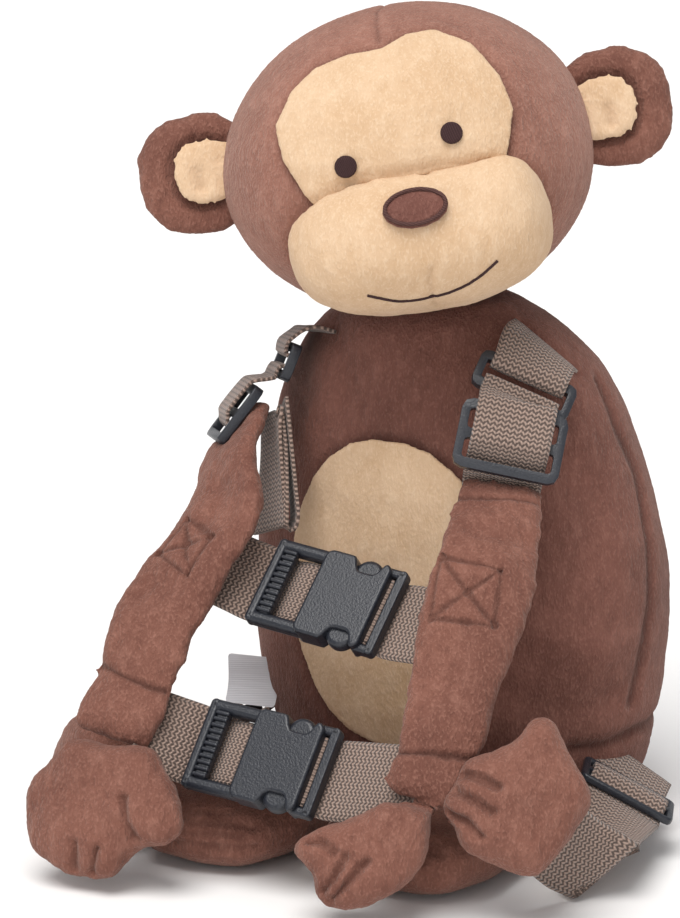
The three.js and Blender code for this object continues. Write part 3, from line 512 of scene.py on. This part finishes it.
pad = points(nose) / MM
middle = pad.mean(axis=0)
long_way, short_way, out_way = np.linalg.svd(pad - middle, full_matrices=False)[2]
long_half = np.abs((pad - middle) @ long_way).max() - 0.7
short_half = np.abs((pad - middle) @ short_way).max() - 0.7
if out_way[1] > 0:
    out_way = -out_way
rim = [Vector(middle + out_way * 2 + long_way * long_half * math.cos(k * math.pi / 12)
              + short_way * short_half * math.sin(k * math.pi / 12)) for k in range(25)]
thread_line("nose_rim_stitches", rim, 1.3, rim_thread, nose)
mouth_line = [(12, -81, 175), (15, -79, 174), (19, -75, 173), (23, -72, 173.5), (28, -70, 174.5),
              (32, -68, 176), (36, -66, 178.5), (41, -64, 181.5), (45, -62, 185.5)]
thread_line("mouth_stitches", mouth_line, 0.9, eye_thread, muzzle)

# Ears
# Two flat stuffed discs of brown plush sewn in at the sides of the head, each with a cream lining
# on its front that is dimpled where it is caught down.
for side in ("left", "right"):
    ear = made(f"ear_{side}_skin", merged(f"ear_{side}"), shaded_limb_plush, "plush", f"ear_{side}")
    stuffed(ear, 2.2 * MM, 0.6, 0.6 * MM, 2)
    lining = made(f"ear_{side}_lining", merged(f"ear_lining_{side}"), cream_plush, "cream",
                  f"ear_lining_{side}")
    stuffed(lining, 0.9 * MM, 0.3, 0.3 * MM, 1)
    flat_way = np.linalg.svd(points(lining) - points(lining).mean(axis=0), full_matrices=False)[2][2]
    if flat_way[1] > 0:
        flat_way = -flat_way
    shift(lining, points(lining) + flat_way * 0.9 * MM)
    sewn_to(ear, "head", 4.0, 2.0)
    sewn_to(lining, "head", 3.0, 1.5)
    # Shade is painted into the groove round the lining and into the dimple below.
    tuck(ear, f"ear_lining_{side}", 1.6, 1.5, 0.6)
    low, high = (Vector(corner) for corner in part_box(f"ear_lining_{side}"))
    middle = (low + high) / 2 / MM
    crease(lining, [middle + Vector((1, -3, 0)), middle + Vector((2, -3, -4))], 2.2, 1.0, 0.4)
    rumple(ear, 13, 0.5, 6)
    fuzzy(ear, 0.14)
    fuzzy(lining, 0.08)

# Legs
# Two short stuffed legs of brown plush that lie forward from the base, wrinkled across the front
# where the toy's weight presses them.
leg_wrinkles = ((19, 8, 52, 1.2), (14, 14, 44, 1.0), (9, 6, 40, 1.1), (22, 20, 50, 0.8))
for side, hand in (("left", -1), ("right", 1)):
    leg = made(f"leg_{side}_skin", merged(f"leg_{side}"), shaded_limb_plush, "plush", f"leg_{side}")
    stuffed(leg, 4 * MM, 0.8, 1.5 * MM, 2)
    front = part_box(f"leg_{side}")[0].y / MM
    for up, inner, outer, depth in leg_wrinkles:
        wrinkle = [(hand * (inner + (outer - inner) * k / 4), front + abs(k - 2) * 2.5, up + (k % 2) * 1.2)
                   for k in range(5)]
        # Each wrinkle is drawn in, with shade painted into it.
        crease(leg, wrinkle, 1.8, depth, 0.35)
    rumple(leg, 14, 1.2, 11 + hand)
    floored(leg)
    fuzzy(leg, 0.14)
    floored(leg)

# Arms
# Padded plush sleeves over the shoulder straps, sewn flat down both edges. The chest strap is held
# in each by a stitched box with a cross, which puckers the plush, and a seam sets off the cuff.
sleeve_lines = {
    "left": {
        "box": [(-49, -84, 101), (-38, -88, 97), (-41, -95, 86), (-54, -92, 91)],
        "cuff": [(-64, -117, 63), (-57, -118, 62), (-50, -118, 60), (-43, -117, 58), (-35, -116, 57)],
        "under": [(-64, -109, 61), (-50, -108, 57), (-35, -108, 55)],
        "hem": [(-54, -57, 122), (-48, -60, 121), (-41, -64, 121)],
        "folds": [[(-41, -78, 110), (-40, -84, 104), (-46, -90, 95)], [(-52, -100, 84), (-56, -104, 74)]],
        "fullness": [((-30, -84, 107), (4.8, 2.8, 0), 13), ((-56, -62, 118), (-3.5, -2, 0), 14)],
    },
    "right": {
        "box": [(37, -82, 100), (55, -77, 97), (58, -87, 83), (40, -94, 85)],
        "cuff": [(37, -116, 51), (44, -114, 50), (51, -111, 50), (58, -108, 49), (64, -105, 48)],
        "under": [(38, -107, 49), (50, -103, 47), (63, -98, 45)],
        "hem": [(33, -67, 114.5), (39.6, -65, 114.5), (44.4, -62, 114), (49.1, -59, 113.5), (55, -55, 112)],
        "folds": [[(42, -72, 108), (50, -70, 106), (57, -66, 104)], [(42, -100, 70), (52, -98, 66)]],
        "fullness": [],
    },
}
for side, lines in sleeve_lines.items():
    arm = made(f"arm_{side}_sleeve", merged(f"arm_{side}", f"cuff_{side}"), shaded_limb_plush, "plush",
               f"arm_{side}", f"cuff_{side}")
    stuffed(arm, 2.2 * MM, 0.8, 0.9 * MM, 2)
    corners = lines["box"]
    # The stitched box, the cuff seam, the underside line and the hem are drawn in with painted shade; the
    # folds get none.
    for a, b in ((0, 1), (1, 2), (2, 3), (3, 0), (0, 2), (1, 3)):
        crease(arm, [corners[a], corners[b]], 0.8, 0.7, 0.7)
    crease(arm, lines["cuff"], 1.1, 1.0, 0.9)
    crease(arm, lines["under"], 1.1, 0.8, 0.7)
    crease(arm, lines["hem"], 0.9, 0.7, 0.7)
    for fold in lines["folds"]:
        crease(arm, fold, 3.0, 0.9)
    for spot, way, width in lines["fullness"]:
        pull(arm, spot, way, width)
    sewn_to(arm, f"hand_{side}", 2.0, 1.0)
    rumple(arm, 13, 1.2, 14)
    rumple(arm, 4.5, 0.4, 15)
    fuzzy(arm, 0.12)

# Hands and feet
# Flat stuffed paws of brown plush. Fingers and toes are only drawn in by short stitched creases
# from the edge, and the thumb stands off to the side.
paw_creases = {
    "hand_right": [
        [(36, -136, 23), (33, -138, 16), (29, -139, 11)],
        [(42, -134, 22), (37, -138, 15), (32, -138, 9)],
        [(24, -137, 27), (29, -137, 27), (33, -137, 24)],
    ],
    "hand_left": [
        [(-37, -140, 30), (-35, -142, 24), (-32, -142, 18)],
        [(-50, -146, 16), (-50, -147, 12), (-51, -147, 7)],
        [(-43, -145, 15), (-44, -146, 10), (-45, -145, 6)],
    ],
    "foot_right": [
        [(60, -116, 47), (63, -116, 47), (69, -115, 46), (74, -114, 44)],
        [(59, -117, 43), (62, -118, 42), (68, -118, 40), (73, -116, 37)],
        [(60, -118, 35), (66, -119, 34), (71, -119, 30)],
    ],
    "foot_left": [
        [(-58, -112, 30), (-64, -113, 28), (-70, -112, 26)],
        [(-60, -112, 22), (-66, -113, 22), (-72, -112, 22)],
    ],
}
for name, lines in paw_creases.items():
    paw = made(f"{name}_skin", merged(name), shaded_limb_plush, "plush", name)
    stuffed(paw, 2.6 * MM, 0.8, 1.2 * MM, 2)
    sewn_to(paw, f"cuff_{name.split('_')[1]}", 2.5, 1.0)
    # Each crease has shade painted into it.
    for line in lines:
        crease(paw, line, 1.4, 2.0, 0.6)
    rumple(paw, 12, 1.3, 21)
    rumple(paw, 4, 0.35, 22)
    fuzzy(paw, 0.14)
    floored(paw)


# Webbing
# Taupe webbing woven in a close zigzag, 25 mm wide. Each length is cut flat, stitched into a
# sleeve or the body at one end, and led through its fittings.
def webbing_finish():
    material, shader, place = finish_start("webbing", 0.75, Sheen_Weight=0.25)
    weave = place.node("ShaderNodeUVMap", {"uv_map": "weave"}, {})
    across, along = weave.apart(0), weave.apart(1)
    zigzag = place.maths("PINGPONG", across, 0.00105) * 0.8
    rib = ((along + zigzag) * (2 * math.pi / 0.00145)).wave()
    column = (across * (2 * math.pi / 0.00105)).wave()
    height = rib * 0.5 + column * 0.2 + rib * column * 0.3
    colour = place.mixed(height.between(0.16, 0.72), (0.058, 0.037, 0.029), (0.43, 0.305, 0.247))
    colour = place.mixed(place.grain(500.0, 3.0) * 0.35, colour, (0.2, 0.138, 0.108))
    finish_end(shader, place, colour, height, 0.0005)
    return material


webbing = webbing_finish()


def strap_run(node):
    """The middle line of a CAD strap and the way across it, read ring by ring from its flat end."""
    shape = merged(node)
    shape.verts.index_update()
    ends = [v for v in shape.verts if len(v.link_edges) == 4
            and all(face.normal.dot(v.link_faces[0].normal) > 0.99 for face in v.link_faces)]
    layer, seen, run = {ends[0]}, {ends[0]}, []
    while True:
        layer = {edge.other_vert(v) for v in layer for edge in v.link_edges} - seen
        seen |= layer
        if len(layer) < 4:
            break
        spots = [v.co.copy() for v in sorted(layer, key=lambda v: v.index)]
        middle = sum(spots, Vector()) / len(spots)
        first = max(spots, key=lambda spot: (spot - middle).length)
        same = [spot for spot in spots if (spot - first).length < (spot + first - 2 * middle).length]
        other = [spot for spot in spots if spot not in same]
        across = (sum(same, Vector()) / len(same) - sum(other, Vector()) / len(other)) / 2
        if run and across.dot(run[-1][1]) < 0:
            across.negate()
        run.append((middle, across))
    shape.free()
    return run


def strap(name, node, run, thick=1.4):
    """Cuts a length of webbing flat, then lays it along the line and the ways across it."""
    lengths = [0.0]
    for (a, _), (b, _) in zip(run, run[1:]):
        lengths.append(lengths[-1] + (b - a).length)
    total = lengths[-1]
    half = max(across.length for _, across in run)
    cloth = bmesh.new()
    bmesh.ops.create_grid(cloth, x_segments=12, y_segments=max(8, int(total / (1.2 * MM))), size=0.5)
    bmesh.ops.solidify(cloth, geom=cloth.faces[:], thickness=thick * MM)
    bmesh.ops.recalc_face_normals(cloth, faces=cloth.faces)
    heights = [v.co.z for v in cloth.verts]
    middle_height = (max(heights) + min(heights)) / 2
    weave = cloth.loops.layers.uv.new("weave")
    for face in cloth.faces:
        for loop in face.loops:
            loop[weave].uv = ((loop.vert.co.x + 0.5) * 2 * half, (loop.vert.co.y + 0.5) * total)

    def knot(k):
        return run[min(max(k, 0), len(run) - 1)]

    for vert in cloth.verts:
        x, y, z = vert.co
        at = (y + 0.5) * total
        k = min(max(int(np.searchsorted(lengths, at)) - 1, 0), len(run) - 2)
        t = (at - lengths[k]) / max(lengths[k + 1] - lengths[k], 1e-9)
        (p, _), (q, qa), (r, ra), (s, _) = knot(k - 1), knot(k), knot(k + 1), knot(k + 2)
        spot = q + 0.5 * t * (r - p + t * (2 * p - 5 * q + 4 * r - s + t * (3 * (q - r) + s - p)))
        ahead = (r - q).lerp(s - q, t * 0.5).lerp(r - p, (1 - t) * 0.5).normalized()
        across = qa.lerp(ra, t)
        out = ahead.cross(across).normalized()
        edge = 1 - 0.3 * abs(2 * x) ** 10
        vert.co = spot + across * (2 * x) + out * ((z - middle_height) * edge)
        vert.co.z = max(vert.co.z, 0)
    bmesh.ops.recalc_face_normals(cloth, faces=cloth.faces)
    for face in cloth.faces:
        face.smooth = True
    return made(name, cloth, webbing, "webbing", node)


for end in ("shoulder_webbing_left", "shoulder_webbing_right", "slider_webbing_left",
            "slider_webbing_right", "chest_webbing_right", "belt_webbing_right", "rear_webbing_left",
            "rear_webbing_right"):
    strap(end.replace("webbing", "strap"), end, strap_run(end))

# Spare webbing
# What is left of the left shoulder's webbing hangs down in a long flattened loop. Its layers are
# seen on edge, and the outermost one turns its face to the front.
spare_run = strap_run("spare_webbing")
if spare_run[0][0].z < spare_run[-1][0].z:
    spare_run.reverse()
front, right = Vector((0.487, -0.844, 0.225)), Vector((0.866, 0.5, 0))
layer_half, outer_half = 8.5, 10.5
outer_from, outer_turn = 0.68, 0.42
turned = []
for k, (spot, across) in enumerate(spare_run):
    if across.dot(front) < 0:
        across = -across
    share = max(0.0, k / (len(spare_run) - 1) - outer_from) / (1 - outer_from)
    way = (across.normalized() + right * outer_turn * share ** 0.5).normalized()
    turned.append((spot, way * (layer_half + (outer_half - layer_half) * share) * MM))
strap("spare_strap", "spare_webbing", turned)


# Fittings
# Rings and sliders moulded in dark slate plastic, with a fine matt texture and rounded edges. The
# webbing is threaded through them.
def moulded_finish(name, dark, lit):
    material, shader, place = finish_start(name, 0.36, Specular_IOR_Level=0.5)
    speck = place.grain(1600.0, 2.0)
    colour = place.mixed(speck.between(0.35, 0.7) * 0.6 + place.grain(60.0) * 0.3, dark, lit)
    finish_end(shader, place, colour, speck, 0.00012)
    return material


slate_plastic = moulded_finish("slate plastic", (0.011, 0.013, 0.019), (0.022, 0.025, 0.034))


def moulded(node, radius):
    """A moulded fitting with its sharp edges rounded."""
    shape = merged(node)
    bmesh.ops.dissolve_limit(shape, angle_limit=math.radians(2), verts=shape.verts, edges=shape.edges)
    sharp = [e for e in shape.edges if len(e.link_faces) == 2 and e.calc_face_angle(0) > math.radians(35)]
    bmesh.ops.bevel(shape, geom=sharp, offset=radius * MM, offset_type="OFFSET", segments=3, profile=0.5,
                    affect="EDGES", clamp_overlap=True, material=-1)
    for face in shape.faces:
        face.smooth = True
    made(f"{node}_moulding", shape, slate_plastic, "plastic", node)


for side in ("left", "right"):
    moulded(f"ring_{side}", 1.4)
    moulded(f"slider_{side}", 1.4)
    moulded(f"rear_slider_{side}", 1.0)

# Buckles
# Two side release buckles of the same plastic, in millimetres. The clip has two rails, an outer bar
# and a ribbed bar that grips the webbing; the socket is a soft pillow notched on each side, where
# the clip's sprung lobes stand out to be pressed.
buckle_frames = {
    "chest": ((-1.0, -82.0, 82.3), (1, 0.01, -0.12), (0, -0.74, 0.67)),
    "belt": ((-6.3, -111.2, 39.2), (1, 0.02, -0.08), (0.02, -0.8, 0.6)),
}
buckle_half = 22.0
side_half = 14.3
mouth = -5.0
pillow_end = 17.4
pillow_high = 4.0
notch_deep = 4.6
notch_half = 4.3
lobe_at = 9.8
lobe_half = 4.7
lobe_out = 14.9
rail_inner = 10.4
rail_high = 2.4
outer_bar = 3.0
grip_from, grip_to = -18.6, -14.4
grip_half = 11.0
grip_low, grip_high = -0.5, 2.4
rib_count = 11
rib_spacing = 2.0
rib_half = 0.62
rib_low, rib_high = 1.2, 3.3
loop_wide = 2.8
loop_bar = 2.9
loop_high = 2.0
window_from = -18.5
window_run = [(-15.5, -3.1), (-13, -2.3), (-10.5, -1.5), (-8, -1.3), (-5, -1.5), (-3, -1.8)]


def corners(low, high, radius):
    """The outline of a rectangle with round corners."""
    left, right = low[0] + radius, high[0] - radius
    bottom, top = low[1] + radius, high[1] - radius
    spots = []
    for quarter, (x, y) in enumerate(((right, top), (left, top), (left, bottom), (right, bottom))):
        for step in range(5):
            turn = (quarter + step / 4) * math.pi / 2
            spots.append((x + radius * math.cos(turn), y + radius * math.sin(turn)))
    return spots


def pillow_side(x):
    """Half the socket's width at a place along it."""
    corner = 2.6
    inside = min(x - mouth, pillow_end - x, corner)
    rounding = corner - math.sqrt(corner ** 2 - (corner - inside) ** 2)
    return side_half - rounding - notch_deep * math.exp(-((x - lobe_at) / notch_half) ** 6)


def plate(shape, outline, low, high, edge):
    """Adds an outline drawn out between two heights, with its rims rounded."""
    bottom = [shape.verts.new((x * MM, y * MM, low * MM)) for x, y in outline]
    drawn = bmesh.ops.extrude_face_region(shape, geom=[shape.faces.new(bottom)])["geom"]
    top = [part for part in drawn if isinstance(part, bmesh.types.BMVert)]
    bmesh.ops.translate(shape, verts=top, vec=(0, 0, (high - low) * MM))
    rims = {rim for v in bottom + top for rim in v.link_edges
            if abs(rim.verts[0].co.z - rim.verts[1].co.z) < 1e-6}
    bmesh.ops.bevel(shape, geom=list(rims), offset=edge * MM, offset_type="OFFSET", segments=4, profile=0.5,
                    affect="EDGES", clamp_overlap=True, material=-1)


def buckle_turn(level):
    """Where a buckle lies on the toy."""
    at, across, out = buckle_frames[level]
    x = Vector(across).normalized()
    z = (Vector(out) - x * Vector(out).dot(x)).normalized()
    turn = Matrix((x, z.cross(x), z)).transposed().to_4x4()
    turn.translation = Vector(at) * MM
    return turn


def fitted(level, half, shape):
    """Lays a finished half of a buckle in its place, its broad faces flat and its rims smooth."""
    broad = 12 * MM ** 2
    bmesh.ops.recalc_face_normals(shape, faces=shape.faces)
    bmesh.ops.transform(shape, matrix=buckle_turn(level), verts=shape.verts)
    for face in shape.faces:
        face.smooth = face.calc_area() < broad
    piece = made(f"{level}_{half}_moulding", shape, slate_plastic, "plastic", f"{level}_{half}")
    weighted = piece.modifiers.new("even", "WEIGHTED_NORMAL")
    weighted.keep_sharp = True


for level in buckle_frames:
    clip = bmesh.new()
    for side in (1, -1):
        rail = sorted((side * rail_inner, side * side_half))
        outline = corners((-buckle_half, rail[0]), (mouth + 3, rail[1]), 1.7)
        plate(clip, outline, -rail_high, rail_high, 1.5)
        lobe = [(lobe_at + lobe_half * math.cos(k * math.pi / 14),
                 side * (lobe_out - lobe_half) + lobe_half * math.sin(k * math.pi / 14)) for k in range(28)]
        plate(clip, lobe, -rail_high, rail_high, 1.6)
    outline = corners((-buckle_half, -side_half), (-buckle_half + outer_bar, side_half), 1.4)
    plate(clip, outline, -rail_high, rail_high, 1.3)
    plate(clip, corners((grip_from, -grip_half), (grip_to, grip_half), 1), grip_low, grip_high, 0.8)
    for rib in range(rib_count):
        y = (rib - (rib_count - 1) / 2) * rib_spacing
        outline = corners((grip_from - 0.2, y - rib_half), (grip_to + 0.3, y + rib_half), 0.55)
        plate(clip, outline, rib_low, rib_high, 0.5)
    fitted(level, "clip", clip)

    socket = bmesh.new()
    pillow_middle, pillow_half = (mouth + pillow_end) / 2, (pillow_end - mouth) / 2
    along = [pillow_middle - pillow_half * math.cos(k * math.pi / 40) for k in range(41)]
    pillow = [(x, -pillow_side(x)) for x in along] + [(x, pillow_side(x)) for x in reversed(along)]
    plate(socket, pillow, -pillow_high, pillow_high, 1.9)
    for side in (1, -1):
        loop = sorted((side * (side_half - loop_wide), side * side_half))
        outline = corners((pillow_end - 3, loop[0]), (buckle_half, loop[1]), 1.3)
        plate(socket, outline, -loop_high, loop_high, 1.2)
    outline = corners((buckle_half - loop_bar, -side_half), (buckle_half, side_half), 1.4)
    plate(socket, outline, -loop_high, loop_high, 1.3)
    fitted(level, "socket", socket)

    # The strap on the clip's side comes from behind the outer bar and shows in the window.
    turn = buckle_turn(level)
    back = turn.inverted()
    run = strap_run(f"{level}_webbing_left")
    if (back @ run[0][0]).x > (back @ run[-1][0]).x:
        run.reverse()
    run = [(spot, across) for spot, across in run if (back @ spot).x < window_from * MM]
    way = turn.to_3x3().col[1] * (rail_inner - 0.2) * MM
    if way.dot(run[-1][1]) < 0:
        way.negate()
    for x, z in window_run:
        run.append((turn @ Vector((x * MM, 0, z * MM)), way))
    strap(f"{level}_strap_left", f"{level}_webbing_left", run)


# Zip
# The pocket opens at the back with a zip on a dark brown tape, its coil down the middle and its
# pull near the top.
def zip_finish():
    material, shader, place = finish_start("zip", 0.55)
    beside = place.apart(0)
    coil = 1 - place.maths("ABSOLUTE", beside).between(0.0012, 0.0022)
    teeth = (place.apart(2) * (2 * math.pi / 0.0022)).wave() * coil
    woven = (place.apart(2) * (2 * math.pi / 0.0009)).wave() * (beside * (2 * math.pi / 0.0009)).wave()
    colour = place.mixed(woven * 0.5 * (1 - coil) + teeth * 0.8, (0.035, 0.018, 0.014), (0.12, 0.065, 0.05))
    finish_end(shader, place, colour, teeth + woven * 0.3 + coil * 0.6, 0.0006)
    return material


made("zip_band", merged("zip_tape"), zip_finish(), "zip", "zip_tape")
puller = merged("zip_pull")
bmesh.ops.dissolve_limit(puller, angle_limit=math.radians(2), verts=puller.verts, edges=puller.edges)
bmesh.ops.bevel(puller, geom=puller.edges[:], offset=0.3 * MM, offset_type="OFFSET", segments=2, profile=0.5,
                affect="EDGES", clamp_overlap=True, material=-1)
zip_metal = moulded_finish("zip metal", (0.06, 0.045, 0.04), (0.11, 0.085, 0.075))
made("zip_puller", puller, zip_metal, "zip", "zip_pull")


# Care label
# A short ribbon of plain white satin caught in the left side seam.
def ribbon_finish():
    material, shader, place = finish_start("ribbon", 0.45, Sheen_Weight=0.2)
    rib = (place.apart(2) * (2 * math.pi / 0.0007)).wave()
    colour = place.mixed(rib * 0.2 + place.grain(90.0) * 0.5, (0.7, 0.71, 0.75), (0.86, 0.86, 0.89))
    finish_end(shader, place, colour, rib, 0.00003)
    return material


ribbon = merged("side_label")
bmesh.ops.subdivide_edges(ribbon, edges=ribbon.edges[:], cuts=6, use_grid_fill=True)
low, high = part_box("side_label")
for vert in ribbon.verts:
    vert.co.y += math.sin((vert.co.z - low.z) / (high.z - low.z) * math.pi * 1.3) * 1.2 * MM
label = made("care_ribbon", ribbon, ribbon_finish(), "label", "side_label")
